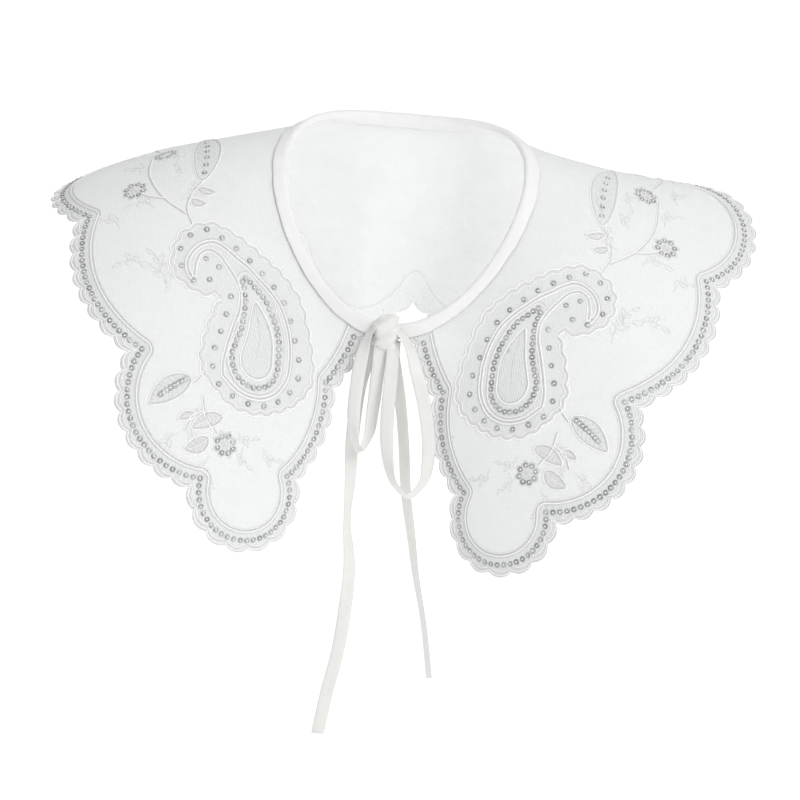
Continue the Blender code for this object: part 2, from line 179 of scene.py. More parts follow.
def drape(phi, reach, swells=SWELLS):
    """Places of the cloth at angles round the neck and distances down from its neck edge."""
    neck = stacked(
        NECK_HALF_WIDTH * np.sin(phi),
        -NECK_HALF_DEPTH * np.cos(phi),
        NECK_LIFT - NECK_RISE * np.cos(phi) - NECK_SADDLE * np.cos(2 * phi),
    )
    first, last = (
        m + a * np.cos(phi) + b * np.cos(2 * phi) for m, a, b in (SLOPE_AT_NECK, SLOPE_AT_EDGE)
    )
    heading = phi + SIDE_FAN * np.sin(2 * phi)
    for row in rows_of(SWELL_COLUMNS, swells):
        share = bell(phi, row)
        first = first + radians(row["at_neck"]) * share
        last = last + radians(row["at_edge"]) * share
        heading = heading + radians(row["turn"]) * share
    half_bend = (last - first) * reach / SLOPE_LENGTH / 2
    chord = reach * np.sinc(half_bend / pi)
    out, down = chord * np.cos(first + half_bend), chord * np.sin(first + half_bend)
    return neck + stacked(np.sin(heading) * out, -np.cos(heading) * out, -down)


def fold_height(phi, reach):
    total = 0.0
    for fold in rows_of(FOLD_COLUMNS, FOLDS):
        swell = smooth(reach, fold["start"] * MM, fold["full"] * MM)
        total = total + fold["depth"] * MM * swell * bell(phi, fold)
    return total


def pucker(phi, reach):
    """Small uneven ripples where the embroidery draws the net in."""
    row = np.sin(14 * phi + 1.3 * np.sin(3 * phi)) * np.sin(reach / PUCKER_LENGTH + 2 * phi)
    return PUCKER_DEPTH * smooth(reach, PUCKER_FROM, PUCKER_FULL) * row


def run(line):
    """How far along a line each of its points is."""
    return np.concatenate([[0], np.cumsum(np.linalg.norm(np.diff(line, axis=0), axis=1))])


def unit(vectors):
    return vectors / np.linalg.norm(vectors, axis=-1, keepdims=True)


def form(phi, reach, lift=0.0):
    """Points of the worn cloth, lifted off it along the outward normal, and those normals."""
    phi, reach = np.asarray(phi, float), np.asarray(reach, float)
    small = 1e-4
    across = drape(phi + small, reach) - drape(phi - small, reach)
    along = drape(phi, reach + small) - drape(phi, reach - small)
    normal = unit(np.cross(along, across))
    height = lift + fold_height(phi, reach) + pucker(phi, reach)
    return drape(phi, reach) + normal * np.asarray(height)[..., None], normal


def row_angles(reach):
    return run(drape(FAN_PHI, np.full(len(FAN_PHI), reach), ())) / (CUT_RADIUS + reach)


FAN_PHI = np.linspace(0, pi, 361)
EDGE_ANGLES = row_angles(FAN_ROW)
THETA_BACK = float(EDGE_ANGLES[-1])
NECK_ANGLES = row_angles(0.0)
NECK_ANGLES *= THETA_BACK / NECK_ANGLES[-1]


def fan_angles(reach):
    share = reach / FAN_ROW
    return NECK_ANGLES * (1 - share) + EDGE_ANGLES * share


def polar(points):
    """Angles round the neck and distances from the neck edge, for points of the flat cut."""
    points = np.asarray(points, float)
    theta, reach = np.arctan2(points[:, 0], -points[:, 1]), np.hypot(*points.T) - CUT_RADIUS
    phi = np.array([np.interp(t, fan_angles(r), FAN_PHI) for t, r in zip(theta, reach)])
    return phi, reach


def theta_of(phi, reach):
    return float(np.interp(phi, FAN_PHI, fan_angles(reach)))


def cut_point(theta, reach):
    radius = CUT_RADIUS + reach
    return Vector((radius * sin(theta), -radius * cos(theta)))


def laid(points, side, lift):
    """Places and normals on one side of the body, for points of the flat cut."""
    phi, reach = polar(points)
    return form(side * phi, reach, lift)


# Outline of the flat cut
def lobe_circles():
    """For each lobe its circle's centre and radius, the cusps at its ends and its small scallops."""
    rows = rows_of(LOBE_COLUMNS, LOBES)
    cusps = [cut_point(radians(row["angle"]), row["reach"] * MM) for row in rows]
    found = []
    for row, start, end in zip(rows, cusps, cusps[1:]):
        chord = end - start
        half, rise = chord.length / 2, row["rise"] * MM
        radius = (half * half + rise * rise) / (2 * rise)
        outward = Vector((chord.y, -chord.x)).normalized()
        centre = (start + end) / 2 + outward * (rise - radius)
        found.append((centre, radius, start, end, row["scallops"]))
    return found


def crossing(centre_a, radius_a, centre_b, radius_b, near):
    """Where two circles cross, on the side nearer to a point."""
    gap = centre_b - centre_a
    along = (gap.length_squared + radius_a**2 - radius_b**2) / (2 * gap.length)
    off = sqrt(max(0.0, radius_a**2 - along**2))
    base, side = centre_a + gap.normalized() * along, Vector((-gap.y, gap.x)).normalized() * off
    return min((base + side, base - side), key=lambda p: (p - near).length)


def angle_between(centre, start, end):
    first = atan2(start.y - centre.y, start.x - centre.x)
    last = atan2(end.y - centre.y, end.x - centre.x)
    return first, (last - first) % (2 * pi)


def on_circle(centre, radius, angle):
    return centre + Vector((cos(angle), sin(angle))) * radius


def scalloped_edge(inset, shares):
    """The edge of small scallops, or a line at an inset from it, from the front to the centre back."""
    circles, points = lobe_circles(), []
    notch_out = BORDER_OUT - SCALLOP_DEPTH - inset
    centre, radius, cusp = circles[0][:3]
    start = crossing(centre, radius + notch_out, Vector((0, 0)), CUT_RADIUS, cusp)
    for i, (centre, radius, _, cusp, count) in enumerate(circles):
        if i + 1 < len(circles):
            after = circles[i + 1]
            end = crossing(centre, radius + notch_out, after[0], after[1] + notch_out, cusp)
        else:
            back = cut_point(THETA_BACK, 0).normalized()
            along = centre.dot(back)
            off = sqrt((radius + notch_out) ** 2 - (centre - back * along).length_squared)
            end = back * (along + off)
        first, sweep = angle_between(centre, start, end)
        for scallop in range(count):
            for share in shares:
                bulge = SCALLOP_DEPTH * sin(pi * share) ** 0.75 if share else 0.0
                angle = first + sweep * (scallop + share) / count
                points.append(on_circle(centre, radius + notch_out + bulge, angle))
        start = end
    return points + [start]


def border_line(inset, spacing):
    """A line at an inset from the sequin row, from the front edge to the centre back."""
    circles, points = lobe_circles(), []
    for i, (centre, radius, start, end, _) in enumerate(circles):
        first, sweep = angle_between(centre, start, end)
        steps = max(3, ceil(sweep * (radius - inset) / spacing))
        angles = [first + sweep * k / steps for k in range(steps + 1)]
        points += [on_circle(centre, radius - inset, angle) for angle in angles]
        if i + 1 < len(circles) and inset > 0:
            corner, turn = angle_between(end, centre, circles[i + 1][0])
            turn = turn - 2 * pi if turn > pi else turn
            steps = max(2, ceil(abs(turn) * inset / (spacing / 3)))
            points += [on_circle(end, inset, corner + turn * k / steps) for k in range(1, steps)]
    points = [p for p in points if p.length > CUT_RADIUS + BORDER_START]
    kept = [p for p in points if atan2(p.x, -p.y) < THETA_BACK - 1e-6]
    return kept + [cut_point(THETA_BACK, LOBES[-1][1] * MM - inset)]


# Motifs, drawn on the wearer's left half of the flat cut, in mm
HALO_EDGE = (
    (108.5, -73.5), (114, -74.5), (121.5, -71.5), (129, -65), (131, -56), (126, -43),
    (112, -37.5), (96.5, -43.5), (83.5, -51.5), (67, -62), (57, -71), (51.5, -84), (48, -98),
    (47.5, -109), (54, -118.5), (66.5, -126.5), (83.5, -131), (97.5, -128.5), (106.5, -121),
    (112.5, -114.5), (114.5, -108), (113.5, -100.5), (111.5, -92), (108.5, -84.5), (105, -77),
)
HALO_ROW = (
    (126, -61), (126.5, -51), (121, -43.5), (112.5, -40.5), (102.5, -46), (90.5, -54),
    (79, -62.5), (66, -75), (60, -90), (56, -107), (69, -123), (80, -127), (94.5, -125),
    (107, -116), (107.5, -102.5), (103, -89.5), (99, -74.5),
)
CURL_ROW = ((119.5, -68.5), (111.5, -67.5), (106, -59), (113, -56.5))
STALK_LOW = ((103, -115), (94, -122), (80, -124), (70, -119.5), (63, -109.5), (61.5, -96))
STALK_HIGH = (
    (61.5, -96), (63.5, -86), (69, -75), (77.5, -67), (83, -63), (90, -57.5), (96.5, -53.5),
    (102, -49.5), (108.5, -46.5), (115.5, -48), (121, -52.5), (123.5, -57.5), (123.5, -63), (120.5, -68),
)
STALK_INNER = (
    (103, -115), (103.5, -110.5), (101.5, -99.5), (98, -88.5), (94.5, -78), (94.5, -72), (97.5, -66),
    (102, -60), (107.5, -54), (112, -52.5), (115.5, -54.5), (117.5, -59), (118.5, -67),
)
# The teardrop's sequin row and its filling, as circles along a spine: x, y and radius in mm
TEAR_SPINE = (
    (83.7, -104.5, 13.8), (81.7, -92, 11.6), (83.5, -81, 8.2), (85.2, -75.5, 6.2), (88, -70.5, 3.4),
    (91, -65.8, 1.8),
)
TEAR_FILL = ((83.2, -104.3, 9.8), (81.7, -93, 8), (83.2, -83, 4.6), (85, -76, 1.2))
TEAR_EDGE = 2.6 * MM
HALO_PETAL, HALO_PETAL_DEPTH = 8.6 * MM, 1.9 * MM

# Leaves: base, tip, bend and half width in mm, side veins, and sequins on the spine
LEAF_COLUMNS = ("base", "tip", "bend", "half_width", "veins", "sequins")
LEAF_STEPS = 24
LEAVES = (
    ((115.5, -11), (122.5, 43), 4.0, 7.6, 7, 6),
    ((119.5, -118), (141, -135), 1.0, 6.2, 6, 8),
    ((118.5, -15), (108, -19), 1.0, 2.6, 2, 0),
    ((122, -22.5), (113, -26), 1.0, 2.6, 2, 0),
    ((101, -135.5), (118, -144.5), 1.0, 4.2, 6, 0),
    ((108, -148), (121, -156.5), -1.0, 4.4, 7, 0),
    ((116, -136.5), (125.5, -141), 0.6, 2.4, 3, 0),
    ((117, 102), (146, 98), 3.0, 5.0, 5, 6),
)
STEMS = (
    ((120, -38), (123.2, -28), (120.5, -18.5), (115.5, -11)),
    ((124, -31), (135.5, -20), (143.5, -3), (145, 21)),
    ((135.5, -20), (143, -17.5), (148.5, -14)),
    ((113, -114), (116, -118), (118.5, -120.5)),
    ((113.5, -127), (111, -137), (104.5, -145.5)),
    ((111.5, -134), (119, -139), (122, -146)),
    ((143, 32), (150, 48), (152, 72)),
    ((149, 45), (132, 66), (121, 84), (117, 102)),
)
ROSETTES = ((138.5, 22.5), (152, -10.5), (98.5, -150), (152, 81))
ROSETTE_RADIUS = 4.7 * MM
ROSETTE_SEQUINS = 8
PETAL_REACH = 7.4 * MM
PETAL_HALF_WIDTH = 2.4

# Faint thread foliage, as small sprays of outlined leaves: x and y, turn in degrees and length
SPRAYS = (
    (134, -76, 60, 17), (141, -26, 20, 13), (131, -7, 100, 11), (157, 24, 70, 14), (146, -62, 15, 13),
    (117, -141, 250, 11), (124, -148, 300, 12), (92, -142, 200, 10), (107, -158, 265, 13),
    (160, -36, 40, 12), (76, -148, 215, 11), (131, 8, 80, 12), (127, -22, 130, 11), (150, 4, 60, 12),
    (139, -66, 80, 12), (110, -134, 320, 9), (88, -150, 250, 10), (158, 52, 60, 12), (136, 76, 100, 12),
    (128, 118, 120, 12),
)

SEQUIN_RADIUS = 1.55 * MM
BORDER_PITCH = 3.9 * MM
TEAR_PITCH = 3.4 * MM
HALO_PITCH = 9.3 * MM
THREAD_STEP = 1.3 * MM


def curve_through(points, spacing, axes=2):
    """Evenly spaced points, in metres, on a smooth curve through the given ones, in mm."""
    knots = np.array(points, float) * MM
    at = run(knots[:, :axes])
    slope = np.gradient(knots, at, axis=0)
    where = np.linspace(0, at[-1], max(2, ceil(at[-1] / spacing) + 1))
    i = np.clip(np.searchsorted(at, where, side="right") - 1, 0, len(at) - 2)
    h = (at[i + 1] - at[i])[:, None]
    u = (where - at[i])[:, None] / h
    return (
        (2 * u**3 - 3 * u**2 + 1) * knots[i] + (u**3 - 2 * u**2 + u) * h * slope[i]
        + (3 * u**2 - 2 * u**3) * knots[i + 1] + (u**3 - u**2) * h * slope[i + 1]
    )


def resampled(line, pitch):
    """The points a pitch apart along a line."""
    line = np.asarray(line, float)
    at = run(line)
    where = np.linspace(0, at[-1], max(2, round(at[-1] / pitch) + 1))
    return stacked(*(np.interp(where, at, column) for column in line.T))


def outline_of(spine, grow):
    """A closed outline round a spine of circles, in metres, grown by a distance."""
    x, y, r = curve_through(spine, 3 * MM).T
    r = np.maximum(r + grow, 0.3 * MM)
    heading = np.arctan2(np.gradient(y), np.gradient(x))
    right = stacked(x + r * np.sin(heading), y - r * np.cos(heading))
    left = stacked(x - r * np.sin(heading), y + r * np.cos(heading))
    caps = []
    for k, first in ((-1, heading[-1] - pi / 2), (0, heading[0] + pi / 2)):
        turn = first + np.linspace(0, pi, max(4, round(pi * r[k] / (2 * MM))))[1:-1]
        caps.append(stacked(x[k] + r[k] * np.cos(turn), y[k] + r[k] * np.sin(turn)))
    return np.concatenate([right, caps[0], left[::-1], caps[1]])


def closed(line):
    return np.concatenate([line, line[:1]])


def beside(line, offset):
    """A line at a distance to the right of another."""
    ahead = unit(np.gradient(line, axis=0))
    return line + stacked(ahead[:, 1], -ahead[:, 0]) * offset


def frilled(line, pitch, depth):
    """A line with small waves that stand out to its left."""
    ahead = unit(np.gradient(line, axis=0))
    at = run(line)
    count = round(at[-1] / pitch)
    wave = np.abs(np.sin(pi * count * at / at[-1])) ** 0.7 * depth
    return line + stacked(-ahead[:, 1], ahead[:, 0]) * wave[:, None]


def leaf_parts(leaf):
    """A leaf's outline, its spine and its side veins, in metres."""
    row = dict(zip(LEAF_COLUMNS, leaf))
    base, tip = np.array(row["base"], float), np.array(row["tip"], float)
    ahead = tip - base
    across = np.array((-ahead[1], ahead[0])) / np.linalg.norm(ahead)
    share = np.linspace(0, 1, LEAF_STEPS + 1)[:, None]
    spine = base + ahead * share + across * row["bend"] * np.sin(pi * share)
    width = row["half_width"] * np.sin(pi * share**0.85) ** 0.7
    outline = np.concatenate([spine + across * width, (spine - across * width)[::-1]])
    veins = []
    for k in range(row["veins"]):
        i = round(4 + 17 * k / row["veins"])
        for way in (1, -1):
            end = spine[min(LEAF_STEPS, i + 3)] + across * way * width[i] * 0.75
            veins.append(np.array([spine[i], end]) * MM)
    return outline * MM, spine * MM, veins


def spray_lines(spray):
    """A small bent stem with outlined leaves either side, in metres."""
    x, y, turn, length = spray
    ahead = np.array((cos(radians(turn)), sin(radians(turn))))
    across = np.array((-ahead[1], ahead[0]))
    share = np.linspace(0, 1, 9)[:, None]
    stem = np.array((x, y)) + ahead * length * share + across * length * 0.22 * np.sin(pi * share)
    lines = [stem * MM]
    for k, way in ((2, 1), (4, -1), (5, 1), (8, -1)):
        tip = stem[k] + (ahead * 0.28 + across * way * 0.24) * length
        lines.append(closed(leaf_parts((stem[k], tip, way * 0.4, length * 0.09, 0, 0))[0]))
    return lines


def ring_of(place, radius, count, first=0.3):
    turn = first + 2 * pi * np.arange(count) / count
    return np.array(place) * MM + stacked(np.cos(turn), np.sin(turn)) * radius


def halo_outline():
    return frilled(curve_through(HALO_EDGE, 1.2 * MM)[::-1], HALO_PETAL, HALO_PETAL_DEPTH)


def band_outline():
    """The band round the teardrop and up into the curl, as one closed outline."""
    high = curve_through(STALK_HIGH, 2 * MM)
    inner = curve_through(STALK_INNER, 2 * MM)
    return np.concatenate([curve_through(STALK_LOW, 2 * MM), high[1:], inner[::-1][:-1]])


# How densely each part is worked: it closes up the net and also darkens its colour as painted shade
# among the stitches.
HALO_DENSITY, BAND_DENSITY, TEAR_DENSITY, FILL_DENSITY = 0.45, 0.65, 0.55, 0.95
LEAF_DENSITY, SMALL_LEAF_DENSITY, BORDER_DENSITY = 0.6, 0.35, 0.8


def worked_regions():
    """Outlines of the parts of the net that are worked with thread, and how densely."""
    regions = [
        (halo_outline(), HALO_DENSITY), (band_outline(), BAND_DENSITY),
        (outline_of(TEAR_SPINE, TEAR_EDGE), TEAR_DENSITY), (outline_of(TEAR_FILL, 0.0), FILL_DENSITY),
    ]
    for leaf in LEAVES:
        regions.append((leaf_parts(leaf)[0], LEAF_DENSITY if leaf[-1] else SMALL_LEAF_DENSITY))
    return regions


def within(points, loop):
    """Which points lie inside a closed loop."""
    points, loop = np.asarray(points, float), np.asarray(loop, float)
    found = np.zeros(len(points), bool)
    for (ax, ay), (bx, by) in zip(loop, np.roll(loop, -1, axis=0)):
        if ay != by:
            over = (ay > points[:, 1]) != (by > points[:, 1])
            found ^= over & (points[:, 0] < ax + (points[:, 1] - ay) * (bx - ax) / (by - ay))
    return found


# Net
GRID_STEP = 3.4 * MM
GRID_ROW_SHARE = 0.87
EDGE_CLEARANCE = 1.3 * MM
INNER_STEP, OUTLINE_STEP = 3 * MM, 2.5 * MM
NECK_SAMPLES = 90
EDGE_SHARES = (0.0, 0.05, 0.15, 0.3, 0.5, 0.7, 0.85, 0.95)


def cut_loop():
    """The half cut's edge: the scalloped edge, the centre back and the neck."""
    edge = scalloped_edge(0.0, EDGE_SHARES)
    start_phi = float(polar([edge[0]])[0][0])
    rows = np.arange(0.0, edge[-1].length - CUT_RADIUS - GRID_STEP, GRID_STEP)
    back = [cut_point(THETA_BACK, float(reach)) for reach in rows[::-1]]
    angles = start_phi + (pi - start_phi) * (1 - np.arange(1, NECK_SAMPLES) / NECK_SAMPLES)
    neck = [cut_point(theta_of(phi, 0), 0) for phi in angles]
    return np.array([p[:] for p in edge + back + neck])


def grid_in(loop):
    """Points in rows inside the cut, clear of its edge."""
    low, high = loop.min(axis=0), loop.max(axis=0)
    rows = []
    for k, y in enumerate(np.arange(low[1], high[1], GRID_STEP * GRID_ROW_SHARE)):
        x = np.arange(low[0] + (k % 2) * GRID_STEP / 2, high[0], GRID_STEP)
        rows.append(stacked(x, y))
    points = np.concatenate(rows)
    points = points[within(points, loop)]
    for place in loop:
        points = points[np.hypot(*(points - place).T) > EDGE_CLEARANCE]
    return points


def net_layout():
    """The half cut as triangles: places, faces and how densely each face is worked."""
    loop = cut_loop()
    inner = np.array([p[:] for p in border_line(BORDER_BAND, INNER_STEP)])
    regions = worked_regions()
    lines = [(inner, False)]
    lines += [(resampled(closed(outline), OUTLINE_STEP)[:-1], True) for outline, _ in regions]
    points, edges = [*loop], [(k, (k + 1) % len(loop)) for k in range(len(loop))]
    for line, is_closed in lines:
        first = len(points)
        points += [*line]
        edges += [(first + k, first + k + 1) for k in range(len(line) - 1)]
        if is_closed:
            edges.append((len(points) - 1, first))
    points += [*grid_in(loop)]
    flat = [Vector(point) / MM for point in points]
    found = delaunay_2d_cdt(flat, edges, [], 1, 1e-4)
    places, faces = np.array([p[:] for p in found[0]]) * MM, found[2]
    centres = np.array([places[face].mean(axis=0) for face in map(list, faces)])
    density = np.zeros(len(faces))
    border = np.concatenate([inner, loop[: len(scalloped_edge(0.0, EDGE_SHARES))][::-1]])
    density[within(centres, border)] = BORDER_DENSITY
    for outline, worked in regions:
        density[within(centres, outline)] = worked
    return places, faces, density


def net_cloth():
    places, faces, density = net_layout()
    mesh = bmesh.new()
    uv = mesh.loops.layers.uv.new("cut")
    worked = mesh.faces.layers.float.new("worked")
    for side in (1, -1):
        spots, _ = laid(places, side, CLOTH_LIFT - CLOTH_THICK / 2)
        made = [mesh.verts.new(spot) for spot in spots]
        for face, dense in zip(faces, density):
            corners = list(face) if side > 0 else list(face)[::-1]
            new = mesh.faces.new([made[k] for k in corners])
            new[worked] = dense
            for loop, k in zip(new.loops, corners):
                loop[uv].uv = (side * places[k][0], places[k][1])
    bmesh.ops.remove_doubles(mesh, verts=mesh.verts, dist=1e-5)
    bmesh.ops.recalc_face_normals(mesh, faces=mesh.faces)
    if sum(face.normal.z * face.calc_area() for face in mesh.faces) < 0:
        bmesh.ops.reverse_faces(mesh, faces=mesh.faces)
    cloth = placed("net_cloth", mesh)
    thick = cloth.modifiers.new("thickness", "SOLIDIFY")
    thick.thickness = CLOTH_THICK
    thick.offset = 1
    thick.use_even_offset = True
    # The inner faces take the second material, the reverse, which is painted lighter as light inside the
    # collar.
    thick.material_offset = 1
    return cloth


def linked(name, data):
    made = bpy.data.objects.new(name, data)
    bpy.context.scene.collection.objects.link(made)
    return made


def placed(name, mesh):
    data = bpy.data.meshes.new(name)
    mesh.to_mesh(data)
    mesh.free()
    data.shade_smooth()
    return linked(name, data)


# Geometry Nodes for what follows a line or repeats
def new_node(tree, kind, settings, inputs):
    """A node with its settings, and inputs that are linked or have a value, by name or number."""
    made = tree.nodes.new(kind)
    for name, value in (settings or {}).items():
        setattr(made, name, value)
    for name, value in inputs.items():
        socket = made.inputs[name.replace("_", " ") if isinstance(name, str) else name]
        if isinstance(value, bpy.types.NodeSocket):
            tree.links.new(value, socket)
        else:
            socket.default_value = value
    return made


class Tree:
    """A node group with named inputs, whose result is realized and given one material."""

    def __init__(self, name, **inputs):
        self.group = bpy.data.node_groups.new(name, "GeometryNodeTree")
        sockets = self.group.interface
        sockets.new_socket("Geometry", in_out="INPUT", socket_type="NodeSocketGeometry")
        self.names = {}
        for label, kind in inputs.items():
            made = sockets.new_socket(label, in_out="INPUT", socket_type="NodeSocket" + kind)
            self.names[label] = made.identifier
        sockets.new_socket("Geometry", in_out="OUTPUT", socket_type="NodeSocketGeometry")
        self.source = self.group.nodes.new("NodeGroupInput")

    def node(self, kind, settings=None, **values):
        return new_node(self.group, kind, settings, values)

    def stored(self, name, kind="FLOAT"):
        made = self.node("GeometryNodeInputNamedAttribute", {"data_type": kind}, Name=name)
        return made.outputs["Attribute"]

    def finish(self, geometry):
        real = self.node("GeometryNodeRealizeInstances", Geometry=geometry)
        painted = self.node("GeometryNodeSetMaterial", Geometry=real.outputs[0],
                            Material=self.source.outputs["Material"])
        end = self.group.nodes.new("NodeGroupOutput")
        self.group.links.new(painted.outputs[0], end.inputs[0])

    def grow(self, name, mesh, **values):
        """Runs the tree on a mesh and returns the result as a plain object."""
        base = linked(name, mesh)
        modifier = base.modifiers.new("form", "NODES")
        modifier.node_group = self.group
        for label, value in values.items():
            modifier[self.names[label]] = value
        seen = base.evaluated_get(bpy.context.evaluated_depsgraph_get())
        result = bpy.data.meshes.new_from_object(seen)
        base.modifiers.clear()
        base.data = result
        return base


def cord_tree():
    """Threads: a round cord along each line, as thick as the line's own girth says."""
    tree = Tree("embroidery_cord", Sides="Int", Material="Material")
    given = tree.source.outputs
    curve = tree.node("GeometryNodeMeshToCurve", Mesh=given["Geometry"])
    girth = tree.stored("girth")
    ring = tree.node("GeometryNodeCurvePrimitiveCircle", Resolution=given["Sides"], Radius=1.0)
    tube = tree.node("GeometryNodeCurveToMesh", Curve=curve.outputs[0], Profile_Curve=ring.outputs[0],
                     Scale=girth, Fill_Caps=True)
    tree.finish(tree.node("GeometryNodeSetShadeSmooth", Geometry=tube.outputs[0]).outputs[0])
    return tree


def sewn_tree():
    """Sequins and stitches: one small piece on each point, turned to the cloth."""
    tree = Tree("sewn_piece", Piece="Object", Material="Material")
    facing, ahead = (tree.stored(name, "FLOAT_VECTOR") for name in ("facing", "ahead"))
    size = tree.stored("size")
    turn = tree.node("FunctionNodeAxesToRotation", {"primary_axis": "Z", "secondary_axis": "X"},
                     Primary_Axis=facing, Secondary_Axis=ahead)
    piece = tree.node("GeometryNodeObjectInfo", Object=tree.source.outputs["Piece"])
    spread = tree.node("GeometryNodeInstanceOnPoints", Points=tree.source.outputs["Geometry"],
                       Instance=piece.outputs["Geometry"], Rotation=turn.outputs[0], Scale=size)
    tree.finish(spread.outputs[0])
    return tree


def cords(tree, name, lines, finish, sides=6):
    """One piece of cords. Each line is places on the worn form, a radius and its painted shade, a darker
    thread colour that stands in for the shade beside raised cords.
    """
    places, edges, girth, along, painted_shade = [], [], [], [], []
    for line, radius, shade in lines:
        first = len(places)
        line = np.asarray(line)
        places += [*line]
        edges += [(first + k, first + k + 1) for k in range(len(line) - 1)]
        girth += [radius] * len(line)
        painted_shade += [shade] * len(line)
        along += [*run(line)]
    mesh = bpy.data.meshes.new(name)
    mesh.from_pydata([tuple(p) for p in places], edges, [])
    for label, values in (("girth", girth), ("along", along), ("painted_shade", painted_shade)):
        mesh.attributes.new(label, "FLOAT", "POINT").data.foreach_set("value", values)
    return tree.grow(name, mesh, Sides=sides, Material=finish)


def sewn(tree, name, piece, places, facing, ahead, size, finish):
    """One piece of small pieces, at places on the worn form."""
    mesh = bpy.data.meshes.new(name)
    mesh.from_pydata([tuple(p) for p in places], [], [])
    for label, vectors in (("facing", facing), ("ahead", ahead)):
        stored = mesh.attributes.new(label, "FLOAT_VECTOR", "POINT")
        stored.data.foreach_set("vector", np.ravel(vectors))
    mesh.attributes.new("size", "FLOAT", "POINT").data.foreach_set("value", np.asarray(size, float))
    return tree.grow(name, mesh, Piece=piece, Material=finish)


# Embroidery
def on_both_sides(rows):
    """Both sides' cords, for rows of a line of the flat cut, a radius in mm and its painted shade."""
    return [
        (laid(line, side, CORD_LIFT)[0], radius * MM, painted_shade)
        for line, radius, painted_shade in rows for side in (1, -1)
    ]


def border_lines():
    rows = [(border_line(inset * MM, 2 * MM), *look) for inset, *look in INNER_CORDS]
    rows += [(scalloped_edge(inset * MM, EDGE_SHARES), *look) for inset, *look in EDGE_CORDS]
    return on_both_sides((resampled([p[:] for p in line], THREAD_STEP), *look) for line, *look in rows)


def paisley_lines():
    low, high = curve_through(STALK_LOW, THREAD_STEP), curve_through(STALK_HIGH, THREAD_STEP)
    outer, inner = np.concatenate([low, high[1:]]), curve_through(STALK_INNER, THREAD_STEP)
    halo, fill = closed(halo_outline()), closed(outline_of(TEAR_FILL, 0.0))
    # Lines, radius in mm and how much painted shade darkens the thread: the darker lines beside the
    # white cords stand in for the shade the raised cords cast
    rows = (
        (halo, 0.5, 0.0), (beside(halo, 0.95 * MM), 0.2, 0.5), (beside(halo, 2.4 * MM), 0.34, 0.1),
        (outer, 0.5, 0.0), (beside(outer, 0.95 * MM), 0.22, 0.85), (beside(outer, 1.9 * MM), 0.42, 0.0),
        (beside(outer, -0.9 * MM), 0.2, 0.6),
        (inner, 0.46, 0.0), (beside(inner, -0.9 * MM), 0.22, 0.85),
        (beside(inner, -1.8 * MM), 0.36, 0.0),
        (fill, 0.46, 0.0), (closed(outline_of(TEAR_FILL, -0.9 * MM)), 0.2, 0.8),
        (closed(outline_of(TEAR_SPINE, 2.5 * MM)), 0.3, 0.0),
        (closed(outline_of(TEAR_SPINE, 3.2 * MM)), 0.2, 0.7),
        (curve_through([row[:2] for row in TEAR_FILL], THREAD_STEP), 0.24, 0.5),
    )
    return on_both_sides((resampled(line, THREAD_STEP), *look) for line, *look in rows)


def sprig_lines():
    rows = []
    # The third number of each row is painted shade: the darker companions beside the cords stand in for
    # the shade the raised cords cast, and veins, sprays and petals are darkened the same way.
    for leaf in LEAVES:
        outline, spine, veins = leaf_parts(leaf)
        edge = closed(outline)
        rows += [(edge, 0.42, 0.0), (beside(edge, 0.8 * MM), 0.2, 0.8), (spine, 0.28, 0.2)]
        rows += [(vein, 0.2, 0.6) for vein in veins]
    for stem in STEMS:
        line = curve_through(stem, THREAD_STEP)
        rows += [(line, 0.42, 0.0), (beside(line, 0.75 * MM), 0.2, 0.9)]
    for spray in SPRAYS:
        rows += [(line, 0.22, 0.35) for line in spray_lines(spray)]
    for place in ROSETTES:
        for tip in ring_of(place, PETAL_REACH, ROSETTE_SEQUINS):
            petal = leaf_parts((place, tip / MM, 0.0, PETAL_HALF_WIDTH, 0, 0))[0]
            rows.append((closed(petal), 0.2, 0.5))
    return on_both_sides(rows)


def sequin_rows():
    """Places of the sequins in the flat cut, on the wearer's left half."""
    rows = []
    for centre, radius, start, end, _ in lobe_circles():
        first, sweep = angle_between(centre, start, end)
        count = round(sweep * radius / BORDER_PITCH)
        turn = first + sweep * np.arange(count) / count
        arc = stacked(centre.x + radius * np.cos(turn), centre.y + radius * np.sin(turn))
        rows.append(arc[np.hypot(*arc.T) > CUT_RADIUS + TAPE_WIDTH + SEQUIN_RADIUS])
    rows.append(resampled(closed(outline_of(TEAR_SPINE, 0.0)), TEAR_PITCH)[:-1])
    rows += [resampled(curve_through(row, 1 * MM), HALO_PITCH) for row in (HALO_ROW, CURL_ROW)]
    for leaf in LEAVES:
        if leaf[-1]:
            part = leaf_parts(leaf)[1][3:18]
            rows.append(resampled(part, np.linalg.norm(part[-1] - part[0]) / (leaf[-1] - 1)))
    rows += [ring_of(place, ROSETTE_RADIUS, ROSETTE_SEQUINS) for place in ROSETTES]
    return np.concatenate(rows)


# Turned shapes of the sequin with its hole and of the stitch in it: radius and height in mm
SEQUIN_RINGS = (
    (0.62, 0.02), (0.74, 0.2), (1.0, 0.34), (1.3, 0.24), (1.55, 0.02), (1.35, -0.04), (0.8, -0.04),
)
BEAD_RINGS = ((0.05, 0.42), (0.35, 0.36), (0.52, 0.18), (0.55, 0.0), (0.05, -0.05))
SEQUIN_LIFT = CLOTH_LIFT + CLOTH_THICK / 2 + 0.1 * MM
SEQUIN_TILT = 0.08
SEQUIN_SIZES = (0.94, 1.04)
SEED = 7


def turned_shape(name, rings, sides):
    mesh = bmesh.new()
    loops, turns = [], [2 * pi * k / sides for k in range(sides)]
    for radius, height in rings:
        spots = [(radius * MM * cos(t), radius * MM * sin(t), height * MM) for t in turns]
        loops.append([mesh.verts.new(spot) for spot in spots])
    for a, b in zip(loops, loops[1:] + loops[:1]):
        for k in range(sides):
            mesh.faces.new((a[k], b[k], b[(k + 1) % sides], a[(k + 1) % sides]))
    bmesh.ops.recalc_face_normals(mesh, faces=mesh.faces)
    return placed(name, mesh)


